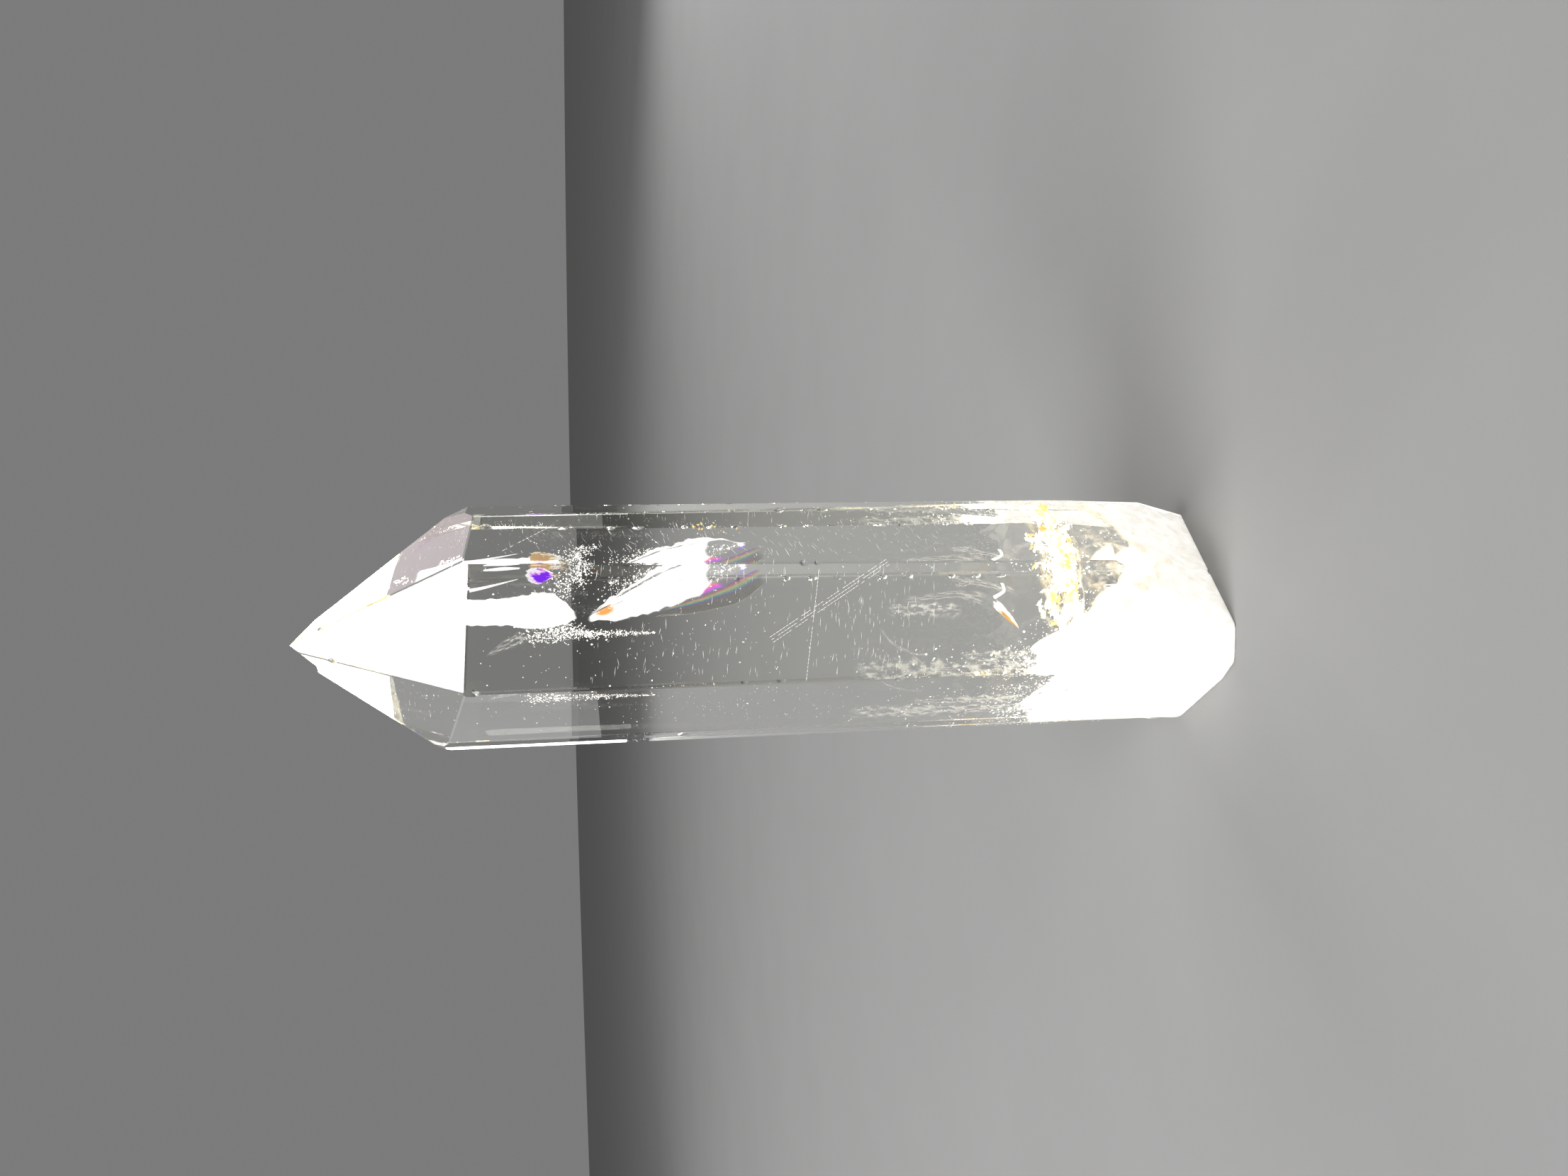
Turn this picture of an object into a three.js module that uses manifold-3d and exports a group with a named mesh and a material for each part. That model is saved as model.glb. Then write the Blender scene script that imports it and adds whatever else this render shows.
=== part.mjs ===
// A rock crystal point: one clear quartz crystal with a six-sided body, a slanted tip and a flat sawn base.
// Millimetres, +Z up. The widest face looks along -Y, and the origin is the middle of the base.

import * as THREE from "three";
import { mergeVertices } from "three/addons/utils/BufferGeometryUtils.js";
import Module from "manifold-3d";

// Every face is flat and is given by the direction it looks in. Its azimuth is counted from the front (-Y)
// towards the right (+X), and its lean is how far it looks up, both in degrees.
// The reach of a body face is its distance from the origin.
const bodyFaces = {
  front: { azimuth: -4.25, lean: 0.1, reach: 14.42 },
  frontLeft: { azimuth: -61, lean: 0.2, reach: 13.97 },
  leftStrip: { azimuth: -70, lean: 0.3, reach: 15.22 },
  frontRight: { azimuth: 45, lean: -0.4, reach: 15.88 },
  rightStrip: { azimuth: 73.7, lean: 0.25, reach: 17.37 },
  backRight: { azimuth: 125.7, lean: -0.15, reach: 12.25 },
  back: { azimuth: 165, lean: 0, reach: 13.0 },
  backLeft: { azimuth: -127, lean: -0.5, reach: 15.25 },
};

// The six faces of the tip lean in to one point, which stands off the middle.
const apex = new THREE.Vector3(-1.9, 3.05, 134.2);
const tipFaces = {
  tipFront: { azimuth: -2, lean: 33.65 },
  tipLeft: { azimuth: -54.75, lean: 29.8 },
  tipRight: { azimuth: 51.1, lean: 37.4 },
  tipBackRight: { azimuth: 120, lean: 27.55 },
  tipBack: { azimuth: 161.6, lean: 27.2 },
  tipBackLeft: { azimuth: -120, lean: 31.4 },
};

// Small faces and breaks that take away a corner each.
const cornerFaces = {
  bluntTip: { azimuth: -69, lean: 60, reach: 115.2 },
  tipNick: { azimuth: 81, lean: 45, reach: 92.45 },
  leftCorner: { azimuth: -72, lean: 21, reach: 54.2 },
  rightCorner: { azimuth: 75, lean: 23.4, reach: 58.6 },
  lowerRightBevel: { azimuth: 59.65, lean: -2.4, reach: 15.19 },
  footFront: { azimuth: -50, lean: -16, reach: 13.9 },
  footRight: { azimuth: 40.7, lean: -19.8, reach: 8.9 },
};

// The worn line along an edge between two faces, as a narrow flat this wide.
const edgeWear = 0.28;
const baseWear = 0.25;
const wornEdges = [
  ["frontLeft", "front"],
  ["front", "frontRight"],
  ["frontRight", "rightStrip"],
  ["rightStrip", "backRight"],
  ["backRight", "back"],
  ["back", "backLeft"],
  ["backLeft", "leftStrip"],
  ["tipLeft", "tipFront"],
  ["tipFront", "tipRight"],
  ["tipRight", "tipBackRight"],
  ["tipBackRight", "tipBack"],
  ["tipBack", "tipBackLeft"],
  ["tipBackLeft", "tipLeft"],
  ["tipLeft", "frontLeft"],
  ["tipFront", "front"],
  ["tipRight", "frontRight"],
  ["tipBackRight", "backRight"],
  ["tipBack", "back"],
  ["tipBackLeft", "backLeft"],
  ["footRight", "front"],
  ["footRight", "frontRight"],
  ["footRight", "lowerRightBevel"],
];
const baseRim = ["front", "frontLeft", "leftStrip", "backLeft", "back", "backRight", "footRight", "footFront"];

// Shell-shaped chips along the upright edges: the height of the chip, its length up the edge and its depth.
const chips = [
  { edge: ["frontLeft", "front"], height: 108, length: 2.6, depth: 0.45 },
  { edge: ["frontLeft", "front"], height: 51, length: 1.4, depth: 0.2 },
  { edge: ["frontLeft", "leftStrip"], height: 79, length: 2.2, depth: 0.16 },
  { edge: ["backLeft", "leftStrip"], height: 59.6, length: 1.9, depth: 0.3 },
  { edge: ["backLeft", "leftStrip"], height: 53.6, length: 1.4, depth: 0.25 },
  { edge: ["frontLeft", "leftStrip"], height: 44.8, length: 1.6, depth: 0.14 },
  { edge: ["backLeft", "leftStrip"], height: 39.1, length: 1.8, depth: 0.3 },
  { edge: ["front", "frontRight"], height: 64.2, length: 1.5, depth: 0.3 },
  { edge: ["front", "frontRight"], height: 62.4, length: 1.1, depth: 0.22 },
  { edge: ["front", "frontRight"], height: 93, length: 1.2, depth: 0.2 },
  { edge: ["frontRight", "rightStrip"], height: 66.1, length: 1.5, depth: 0.2 },
  { edge: ["frontRight", "rightStrip"], height: 59.8, length: 1.8, depth: 0.24 },
  { edge: ["rightStrip", "backRight"], height: 53.4, length: 2.2, depth: 0.35 },
  { edge: ["rightStrip", "backRight"], height: 106, length: 2.8, depth: 0.4 },
  { edge: ["rightStrip", "backRight"], height: 84, length: 1.5, depth: 0.25 },
  { edge: ["tipLeft", "tipFront"], height: 126.5, length: 1.6, depth: 0.3 },
  { edge: ["tipFront", "tipRight"], height: 128, length: 1.4, depth: 0.3 },
  { edge: ["tipBack", "tipBackRight"], height: 124, length: 1.8, depth: 0.3 },
];

// The back edge on the right is nicked all the way up. The steps are uneven by this part of a step at most, and the
// multiples of the golden part set how uneven each is.
const nickedEdge = ["backRight", "back"];
const nickFoot = 12;
const nickTop = 98;
const nickCount = 17;
const nickShortest = 1.02;
const nickLongest = 2.38;
const nickDeepest = 0.338;
const nickShallowest = 0.156;
const nickUneven = 0.6;
const goldenPart = 0.618;

// A notch in the rim of the base, at the foot of the slanted face.
const notchPlace = new THREE.Vector3(6.0, -7.7, 0);
const notchSize = 0.9;

// A flake has split off the left of the tip and has left a small shelf at its foot.
const flakeFace = { azimuth: -79, lean: 40, reach: 86.1 };
const flakeFoot = 129.1;

const up = new THREE.Vector3(0, 0, 1);
const blockSize = 400;
const chipRounds = 4;

const wasm = await Module();
wasm.setup();

function solidOf(geometry) {
  const bare = geometry.clone();
  bare.deleteAttribute("normal");
  bare.deleteAttribute("uv");
  const merged = mergeVertices(bare, 1e-5);
  const mesh = new wasm.Mesh({
    numProp: 3,
    vertProperties: new Float32Array(merged.attributes.position.array),
    triVerts: new Uint32Array(merged.index.array),
  });
  return new wasm.Manifold(mesh);
}

function geometryOf(solid) {
  const mesh = solid.getMesh();
  const geometry = new THREE.BufferGeometry();
  geometry.setAttribute("position", new THREE.BufferAttribute(mesh.vertProperties, 3));
  geometry.setIndex(new THREE.BufferAttribute(mesh.triVerts, 1));
  return geometry;
}

function lookingTo({ azimuth, lean }) {
  const turn = THREE.MathUtils.degToRad(azimuth);
  const rise = THREE.MathUtils.degToRad(lean);
  return new THREE.Vector3(
    Math.sin(turn) * Math.cos(rise),
    -Math.cos(turn) * Math.cos(rise),
    Math.sin(rise),
  );
}

// A plane is kept as its outward direction and its distance from the origin.
const planes = { base: { out: new THREE.Vector3(0, 0, -1), reach: 0 } };
for (const [name, face] of Object.entries({ ...bodyFaces, ...cornerFaces })) {
  planes[name] = { out: lookingTo(face), reach: face.reach };
}
for (const [name, face] of Object.entries(tipFaces)) {
  const out = lookingTo(face);
  planes[name] = { out, reach: out.dot(apex) };
}

// The plane that takes the sharp line between two faces down to a flat of the given width.
function wornPlane(nameA, nameB, width) {
  const a = planes[nameA];
  const b = planes[nameB];
  const sum = a.out.clone().add(b.out);
  const halfTurn = a.out.angleTo(b.out) / 2;
  const depth = (width / 2) * Math.tan(halfTurn);
  return { out: sum.clone().normalize(), reach: (a.reach + b.reach) / sum.length() - depth };
}

// A block that fills everything beyond a plane.
function beyond({ out, reach }) {
  const block = new THREE.BoxGeometry(blockSize, blockSize, blockSize);
  block.translate(0, 0, blockSize / 2 + reach);
  block.applyQuaternion(new THREE.Quaternion().setFromUnitVectors(up, out));
  return solidOf(block);
}

// The point of the line between two faces at a given height, and the direction halfway between them.
function onEdge([nameA, nameB], height) {
  const a = planes[nameA];
  const b = planes[nameB];
  const restA = a.reach - a.out.z * height;
  const restB = b.reach - b.out.z * height;
  const cross = a.out.x * b.out.y - a.out.y * b.out.x;
  const point = new THREE.Vector3(
    (restA * b.out.y - restB * a.out.y) / cross,
    (restB * a.out.x - restA * b.out.x) / cross,
    height,
  );
  return { point, out: a.out.clone().add(b.out).normalize() };
}

// A chip is the bite of a ball that is as wide as the chip's length and depth ask.
function chipBite({ edge, height, length, depth }) {
  const { point, out } = onEdge(edge, height);
  const radius = (length * length / 4 + depth * depth) / (2 * depth);
  const ball = new THREE.IcosahedronGeometry(radius, chipRounds);
  const centre = point.addScaledVector(out, radius - depth);
  ball.rotateX(height);
  ball.translate(centre.x, centre.y, centre.z);
  return solidOf(ball);
}

function nicks() {
  const step = (nickTop - nickFoot) / nickCount;
  return Array.from({ length: nickCount }, (_, i) => {
    const uneven = (i * goldenPart) % 1;
    return {
      edge: nickedEdge,
      height: nickFoot + step * (i + nickUneven * uneven),
      length: THREE.MathUtils.lerp(nickShortest, nickLongest, uneven),
      depth: THREE.MathUtils.lerp(nickDeepest, nickShallowest, uneven),
    };
  });
}

function makeCrystal() {
  const block = new THREE.BoxGeometry(blockSize / 4, blockSize / 4, blockSize / 2);
  block.translate(0, 0, blockSize / 4);
  let crystal = solidOf(block);
  for (const [name, plane] of Object.entries(planes)) {
    if (name !== "base") crystal = crystal.subtract(beyond(plane));
  }
  for (const [nameA, nameB] of wornEdges) {
    crystal = crystal.subtract(beyond(wornPlane(nameA, nameB, edgeWear)));
  }
  for (const name of baseRim) {
    crystal = crystal.subtract(beyond(wornPlane(name, "base", baseWear)));
  }
  const flake = { out: lookingTo(flakeFace), reach: flakeFace.reach };
  crystal = crystal.subtract(beyond(flake).intersect(beyond({ out: up, reach: flakeFoot })));
  for (const chip of [...chips, ...nicks()]) {
    crystal = crystal.subtract(chipBite(chip));
  }
  const notch = new THREE.OctahedronGeometry(notchSize);
  notch.translate(notchPlace.x, notchPlace.y, notchPlace.z);
  return geometryOf(crystal.subtract(solidOf(notch)));
}

const quartz = new THREE.MeshStandardMaterial({
  color: 0xdfe3dd,
  roughness: 0.04,
  metalness: 0,
  transparent: true,
  opacity: 0.45,
  flatShading: true,
});

const crystalGeometry = makeCrystal();
crystalGeometry.computeBoundingBox();
const middle = crystalGeometry.boundingBox.getCenter(new THREE.Vector3());
crystalGeometry.translate(-middle.x, -middle.y, 0);

const crystalPoint = new THREE.Mesh(crystalGeometry, quartz);
crystalPoint.name = "crystal_point";

const group = new THREE.Group();
group.add(crystalPoint);

export default group;
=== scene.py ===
# %% [markdown]
# A rock crystal point. This lesson dresses one clear quartz crystal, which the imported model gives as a
# flat-faced solid, and grows inside it what makes it look real: a bright fracture with rainbow colours,
# dust, wisps, a milky root and iron stain. Lengths are given in millimetres, and those of the floor, the
# lights and Blender's own settings in metres.

import bpy
import numpy as np
from mathutils import Matrix


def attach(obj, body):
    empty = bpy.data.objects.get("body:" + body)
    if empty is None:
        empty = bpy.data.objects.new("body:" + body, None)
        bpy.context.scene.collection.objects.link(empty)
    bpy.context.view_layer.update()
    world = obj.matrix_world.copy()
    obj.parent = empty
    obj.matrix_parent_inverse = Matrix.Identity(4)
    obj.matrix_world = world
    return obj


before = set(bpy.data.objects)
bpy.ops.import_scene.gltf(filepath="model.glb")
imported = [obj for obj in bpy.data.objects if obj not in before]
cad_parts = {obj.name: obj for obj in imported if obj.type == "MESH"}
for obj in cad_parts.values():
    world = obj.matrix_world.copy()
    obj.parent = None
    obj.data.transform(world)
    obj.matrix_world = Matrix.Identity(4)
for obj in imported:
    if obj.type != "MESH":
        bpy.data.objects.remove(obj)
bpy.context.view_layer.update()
MM = 0.001
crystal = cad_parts["crystal_point"]


# %% [markdown]
# Shader maths reads best as a formula. A socket of a node can't be added or multiplied in Python, so a small
# class wraps it: each operator adds one Math node and gives back its output. Every other node comes from
# `node`, which sets the settings first and then fills or links the sockets.

# %% A socket that can be used in formulas
class Wire:
    """An output socket of a node tree, with plus, minus, times and so on as Math nodes."""

    def __init__(self, tree, socket):
        self.tree = tree
        self.socket = socket

    def maths(self, operation, *terms):
        return node(self.tree, "ShaderNodeMath", {"operation": operation}, dict(enumerate(terms)))

    def __add__(self, other):
        return self.maths("ADD", self, other)

    __radd__ = __add__

    def __sub__(self, other):
        return self.maths("SUBTRACT", self, other)

    def __rsub__(self, other):
        return self.maths("SUBTRACT", other, self)

    def __mul__(self, other):
        return self.maths("MULTIPLY", self, other)

    __rmul__ = __mul__

    def __abs__(self):
        return self.maths("ABSOLUTE", self)

    def fraction(self):
        return self.maths("FRACT", self)

    def root(self):
        return self.maths("SQRT", self)

    def lower(self, other):
        """The lower of two values."""
        return self.maths("MINIMUM", self, other)

    def step(self, low, high):
        """0 below low and 1 above high, with a smooth rise between them."""
        sockets = {"Value": self, "From Min": low, "From Max": high}
        return node(self.tree, "ShaderNodeMapRange", {"interpolation_type": "SMOOTHSTEP"}, sockets)


def node(tree, kind, settings=None, sockets=None, output=0):
    """Adds a node, sets its settings, then fills its sockets with values or links them to wires."""
    new = tree.nodes.new(kind)
    for name, value in (settings or {}).items():
        if name == "stops":
            fill_ramp(new.color_ramp, value)
        else:
            setattr(new, name, value)
    for name, value in (sockets or {}).items():
        if isinstance(value, Wire):
            tree.links.new(value.socket, new.inputs[name])
        else:
            new.inputs[name].default_value = value
    return Wire(tree, new.outputs[output])


def fill_ramp(ramp, stops):
    """Gives a colour ramp its stops, each a place from 0 to 1 and a colour."""
    while len(ramp.elements) < len(stops):
        ramp.elements.new(1.0)
    for element, (place, colour) in zip(ramp.elements, stops):
        element.position = place
        element.color = (*colour, 1.0)


# %% Helpers for finishes
def new_finish(name):
    """An empty material, its node tree, and the place of each point on the object."""
    material = bpy.data.materials.new(name)
    material.use_nodes = True
    tree = material.node_tree
    tree.nodes.clear()
    place = node(tree, "ShaderNodeTexCoord", output="Object")
    return material, tree, place


def put_out(tree, surface, volume=None):
    """Makes the surface shader, and the volume shader where there is one, what the material shows."""
    out = tree.nodes.new("ShaderNodeOutputMaterial")
    tree.links.new(surface.socket, out.inputs["Surface"])
    if volume is not None:
        tree.links.new(volume.socket, out.inputs["Volume"])


def per_mm(place, *factors):
    """The place with each axis times its own factor, in patterns per millimetre."""
    sockets = {0: place, 1: [factor / MM for factor in factors]}
    return node(place.tree, "ShaderNodeVectorMath", {"operation": "MULTIPLY"}, sockets)


def noise(place, detail=3.0):
    sockets = {"Vector": place, "Scale": 1.0, "Detail": detail, "Roughness": 0.55}
    return node(place.tree, "ShaderNodeTexNoise", {}, sockets)


def ramp(wire, *stops):
    return node(wire.tree, "ShaderNodeValToRGB", {"stops": stops}, {"Fac": wire})


# The numbers of the Mix node's sockets for colours.
MIX_FACTOR, MIX_A, MIX_B, MIX_OUT = 0, 6, 7, 2


def blend(factor, first, second):
    """A colour that goes from the first to the second as the factor rises."""
    sockets = {MIX_FACTOR: factor, MIX_A: first, MIX_B: second}
    return node(factor.tree, "ShaderNodeMix", {"data_type": "RGBA"}, sockets, MIX_OUT)


# %% [markdown]
# The photograph looks down on the standing crystal by about 12 degrees, with the camera turned on its
# side, so the crystal lies across the picture with its point to the left. The upright edges draw together
# downwards, and how much they do so gave the camera's place and tilt. A matrix from three directions says
# this more plainly than three angles would.

# %% Camera
CAMERA_PLACE = np.array([4.78, -174.85, 100.0])
PITCH = np.radians(11.66)
ROLL = np.radians(1.27)
LENS = 28.0
NEAREST_SEEN = 0.01


def to_world(side, up, back, place):
    """The matrix of an object whose own X, Y and Z look along side, up and back."""
    matrix = np.eye(4)
    matrix[:3] = np.stack([side, up, back, place], axis=1)
    return Matrix(matrix.tolist())


ahead = np.array([0.0, np.cos(PITCH), -np.sin(PITCH)])
top = np.array([0.0, np.sin(PITCH), np.cos(PITCH)])
right = np.array([1.0, 0.0, 0.0])
camera_data = bpy.data.cameras.new("camera")
camera_data.lens = LENS
camera_data.clip_start = NEAREST_SEEN
camera = bpy.data.objects.new("camera", camera_data)
picture_right = -top * np.cos(ROLL) - right * np.sin(ROLL)
picture_up = right * np.cos(ROLL) - top * np.sin(ROLL)
camera.matrix_world = to_world(picture_right, picture_up, -ahead, CAMERA_PLACE * MM)
bpy.context.scene.collection.objects.link(camera)
bpy.context.scene.camera = camera
print("camera at", CAMERA_PLACE, "mm, lens", LENS, "mm")


# %% [markdown]
# A clear crystal shows what stands around it, so the room is part of its looks. It could be one big
# picture of a room, but a grey world with boxes of light is easier to aim. The floor is a plain pale disc.

# %% Floor and room
FLOOR_RADIUS = 3.0
FLOOR_SIDES = 96
ROOM_GREY = (0.20, 0.20, 0.20, 1)


def add_mesh(name, points, faces, finish, smooth=False):
    """A mesh object from points in metres and faces as lists of point numbers."""
    mesh = bpy.data.meshes.new(name)
    mesh.from_pydata(np.asarray(points).tolist(), [], np.asarray(faces).tolist())
    mesh.polygons.foreach_set("use_smooth", np.full(len(mesh.polygons), smooth))
    mesh.materials.append(finish)
    mesh.update()
    piece = bpy.data.objects.new(name, mesh)
    bpy.context.scene.collection.objects.link(piece)
    return piece


def floor_finish():
    material, tree, place = new_finish("floor_paint")
    cloudy = noise(per_mm(place, 0.02, 0.02, 0.02))
    colour = ramp(cloudy, (0.0, (0.27, 0.27, 0.267)), (1.0, (0.30, 0.30, 0.297)))
    put_out(tree, node(tree, "ShaderNodeBsdfPrincipled", {}, {"Base Color": colour, "Roughness": 0.8}))
    return material


around = np.linspace(0, 2 * np.pi, FLOOR_SIDES, endpoint=False)
rim = np.stack([np.cos(around), np.sin(around), np.zeros(FLOOR_SIDES)], axis=1) * FLOOR_RADIUS
floor = add_mesh("floor", rim, [list(range(FLOOR_SIDES))], floor_finish())

world = bpy.data.worlds.new("room")
world.use_nodes = True
world.node_tree.nodes["Background"].inputs["Color"].default_value = ROOM_GREY
bpy.context.scene.world = world
print("floor:", FLOOR_RADIUS * 2, "m across")


# %% [markdown]
# Two large boxes light the crystal, one from the left and one from behind on the right. The others are
# there to be mirrored: the one overhead by the front face of the point, the gleams by the upper parts of
# its left and right faces, the faint lilac one by the rest of the right face, and the wall by the faces at
# the front left.

# %% Lights
LIGHT_AIM = (0.0, 0.0, 0.07)
NEARLY_UP = (0.0, 0.1, 1.0)


def soft_box(name, azimuth, height, distance, size, radiance, roll=0.0, tint=(1.0, 1.0, 1.0)):
    """An area light in a direction from the front, at a height and distance in metres, turned to the crystal
    and rolled by degrees around the line to it."""
    light = bpy.data.lights.new(name, "AREA")
    light.shape = "RECTANGLE"
    light.size, light.size_y = size
    light.energy = radiance * np.pi * size[0] * size[1]
    light.color = tint
    turn = np.radians(azimuth)
    place = np.array([np.sin(turn) * distance, -np.cos(turn) * distance, height])
    back = (place - LIGHT_AIM) / np.linalg.norm(place - LIGHT_AIM)
    level = np.cross(NEARLY_UP, back)
    level /= np.linalg.norm(level)
    lean = np.radians(roll)
    side = np.cos(lean) * level - np.sin(lean) * np.cross(back, level)
    box = bpy.data.objects.new(name, light)
    box.visible_camera = False
    box.matrix_world = to_world(side, np.cross(back, side), back, place)
    bpy.context.scene.collection.objects.link(box)
    print(f"{name}: {size[0]} by {size[1]} m, {light.energy:.2f} W")


soft_box("overhead", -4, 0.80, 0.20, (0.26, 0.24), 16.0)
soft_box("window_left", -68, 0.58, 0.80, (0.66, 0.50), 8.0)
soft_box("wall_left", -128, 0.27, 0.90, (0.30, 0.46), 1.0)
soft_box("window_right", 124, 0.24, 0.85, (0.5, 0.46), 5.0)
soft_box("gleam_left", -136.1, 0.55, 0.70, (0.09, 0.12), 14.0, roll=29.5)
soft_box("gleam_right", 136.5, 0.70, 0.75, (0.17, 0.16), 1.6, tint=(1.0, 0.72, 0.82))
soft_box("gleam_top", 139.45, 0.722, 0.735, (0.08, 0.16), 12.0)

# %% [markdown]
# A ray that enters the point can be thrown from face to face seven or eight times before it reaches the
# root, and each of these mirrorings counts as a glossy bounce. Light also passes many thin sheets. So it
# gets more bounces than Blender's usual number.

# %% Light paths
MOST_BOUNCES = 28
MOST_SHEETS_PASSED = 48
paths = bpy.context.scene.cycles
paths.max_bounces = MOST_BOUNCES
paths.glossy_bounces = MOST_BOUNCES
paths.transmission_bounces = MOST_BOUNCES
paths.transparent_max_bounces = MOST_SHEETS_PASSED
bpy.context.scene.view_settings.view_transform = "Standard"
print("bounces:", MOST_BOUNCES)


# %% [markdown]
# The body is clear quartz: light bends in it as its index asks, and is soaked up very slightly. Faking it
# by alpha would show no bent images of what is inside, so it is true transmission. The faces are polished
# flat, so the surface has only the faintest unevenness and worn patches of short level scratches.

# %% Clear quartz
QUARTZ_INDEX = 1.546
SOAKED_TINT = (0.84, 0.84, 0.76, 1.0)
SOAKED_PER_METRE = 14.0


def quartz_finish():
    material, tree, place = new_finish("clear_quartz")
    ripple = noise(per_mm(place, 0.10, 0.10, 0.08), detail=1.0)
    dashes = noise(per_mm(place, 0.55, 0.55, 9.0), detail=2.0).step(0.68, 0.73)
    patches = noise(per_mm(place, 0.06, 0.06, 0.05)).step(0.50, 0.62)
    scratches = dashes * patches
    relief = ripple * 0.5 - scratches * 0.4
    bump = node(tree, "ShaderNodeBump", {}, {"Strength": 0.06, "Distance": 0.0001, "Height": relief})
    sockets = {
        "Base Color": (1.0, 1.0, 1.0, 1.0),
        "Roughness": scratches * 0.3 + 0.003,
        "IOR": QUARTZ_INDEX,
        "Transmission Weight": 1.0,
        "Normal": bump,
    }
    body = node(tree, "ShaderNodeBsdfPrincipled", {}, sockets)
    soak = {"Color": SOAKED_TINT, "Density": SOAKED_PER_METRE}
    put_out(tree, body, node(tree, "ShaderNodeVolumeAbsorption", {}, soak))
    return material


crystal.material_slots[0].material = quartz_finish()
print("crystal dressed:", crystal.name, "with", len(crystal.data.polygons), "faces")

# %% [markdown]
# The solid's flat faces tell how deep a point lies inside. They are read from the mesh rather than
# written down a second time. A triangle lies on one of the crystal's flat faces, worn edges included, when
# no corner of the whole mesh stands out beyond its plane. The triangles of chips and nicks fail that test.

# %% Flat faces of the solid
SMALLEST_TRIANGLE = 0.05
STANDS_OUT = 0.02


def flat_faces(mesh):
    """Outward directions and distances from the origin, in mm, of the planes that hold the whole mesh."""
    corners = np.empty(len(mesh.vertices) * 3, np.float32)
    outward = np.empty(len(mesh.polygons) * 3, np.float32)
    middle = np.empty(len(mesh.polygons) * 3, np.float32)
    area = np.empty(len(mesh.polygons), np.float32)
    mesh.vertices.foreach_get("co", corners)
    mesh.polygons.foreach_get("normal", outward)
    mesh.polygons.foreach_get("center", middle)
    mesh.polygons.foreach_get("area", area)
    corners = corners.reshape(-1, 3).astype(float) / MM
    outward = outward.reshape(-1, 3).astype(float)
    reach = (outward * middle.reshape(-1, 3)).sum(axis=1) / MM
    holds = (outward @ corners.T).max(axis=1) < reach + STANDS_OUT
    kept = np.nonzero(holds & (area > SMALLEST_TRIANGLE * MM**2))[0]
    kept = kept[np.argsort(-area[kept])]
    rounded = np.round(np.column_stack([outward[kept], reach[kept] / 10]), 2)
    first = np.unique(rounded, axis=0, return_index=True)[1]
    return outward[kept][first], reach[kept][first]


face_outward, face_reach = flat_faces(crystal.data)
print("flat faces found:", len(face_reach))


def depth_inside(points):
    """How far in mm each point lies under the nearest flat face."""
    return (face_reach - points @ face_outward.T).min(axis=-1)


def face_towards(azimuth, lean=0.0):
    """The direction and reach of the flat face that looks most nearly along an azimuth, counted from the
    front, and a lean, both in degrees."""
    turn, rise = np.radians([azimuth, lean])
    wanted = np.array([np.sin(turn) * np.cos(rise), -np.cos(turn) * np.cos(rise), np.sin(rise)])
    best = np.argmax(face_outward @ wanted)
    return face_outward[best], face_reach[best]


# %% [markdown]
# Everything inside rides on the crystal's one body.

# %% Add a piece inside
def settle(piece):
    """Makes a piece part of the crystal."""
    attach(piece, "root")
    mesh = piece.data
    print(f"{piece.name}: {len(mesh.vertices)} points, {len(mesh.polygons)} faces")
    return piece


def grid_faces(rows, columns):
    """The four corners of each cell of a grid of points that is stored row by row."""
    corner = np.arange(rows * columns).reshape(rows, columns)
    cells = [corner[:-1, :-1], corner[:-1, 1:], corner[1:, 1:], corner[1:, :-1]]
    return np.stack([cell.ravel() for cell in cells], axis=1)


def add_sheet(name, points, sheet_place, finish):
    """A smooth sheet from a grid of points in mm. Its UV map holds the places across and along it."""
    rows, columns = points.shape[:2]
    piece = add_mesh(name, points.reshape(-1, 3) * MM, grid_faces(rows, columns), finish, smooth=True)
    corners = np.empty(len(piece.data.loops), dtype=np.int32)
    piece.data.loops.foreach_get("vertex_index", corners)
    uv = piece.data.uv_layers.new(name="sheet")
    uv.data.foreach_set("uv", sheet_place.reshape(-1, 2)[corners].ravel())
    return settle(piece)


# %% [markdown]
# Cracks, wisps and veils inside are thin sheets. They could be sculpted one by one. Here a sheet is
# worked out between two smooth rims, because a few points from head to foot then say where it starts and
# ends, and it is bent and rippled afterwards like broken quartz.

# %% Sheets between two rims
def smooth_path(points, count):
    """Places along the smooth curve through the points: each stretch is a cubic that leans on its
    neighbours."""
    points = np.array(points, float)
    before = 2 * points[0] - points[1]
    after = 2 * points[-1] - points[-2]
    ends = np.concatenate([[before], points, [after]])
    where = np.linspace(0, len(points) - 1, count)
    stretch = np.minimum(where.astype(int), len(points) - 2)
    t = (where - stretch)[:, None]
    a, b, c, d = (ends[stretch + step] for step in range(4))
    curve = 2 * b + (c - a) * t + (2 * a - 5 * b + 4 * c - d) * t**2
    return 0.5 * (curve + (3 * b - a - 3 * c + d) * t**3)


def lumps(points, size, dice, waves=14):
    """A smooth random field: a sum of sines that run in random directions, about -1 to 1."""
    ways = dice.normal(size=(waves, 3)) * (2 * np.pi / size) * 0.6
    starts = dice.uniform(0, 2 * np.pi, waves)
    return np.sin(points @ ways.T + starts).sum(axis=-1) / np.sqrt(waves)


RIPPLE_LENGTH = 3.0
RAGGED_LENGTH = 1.6


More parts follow.
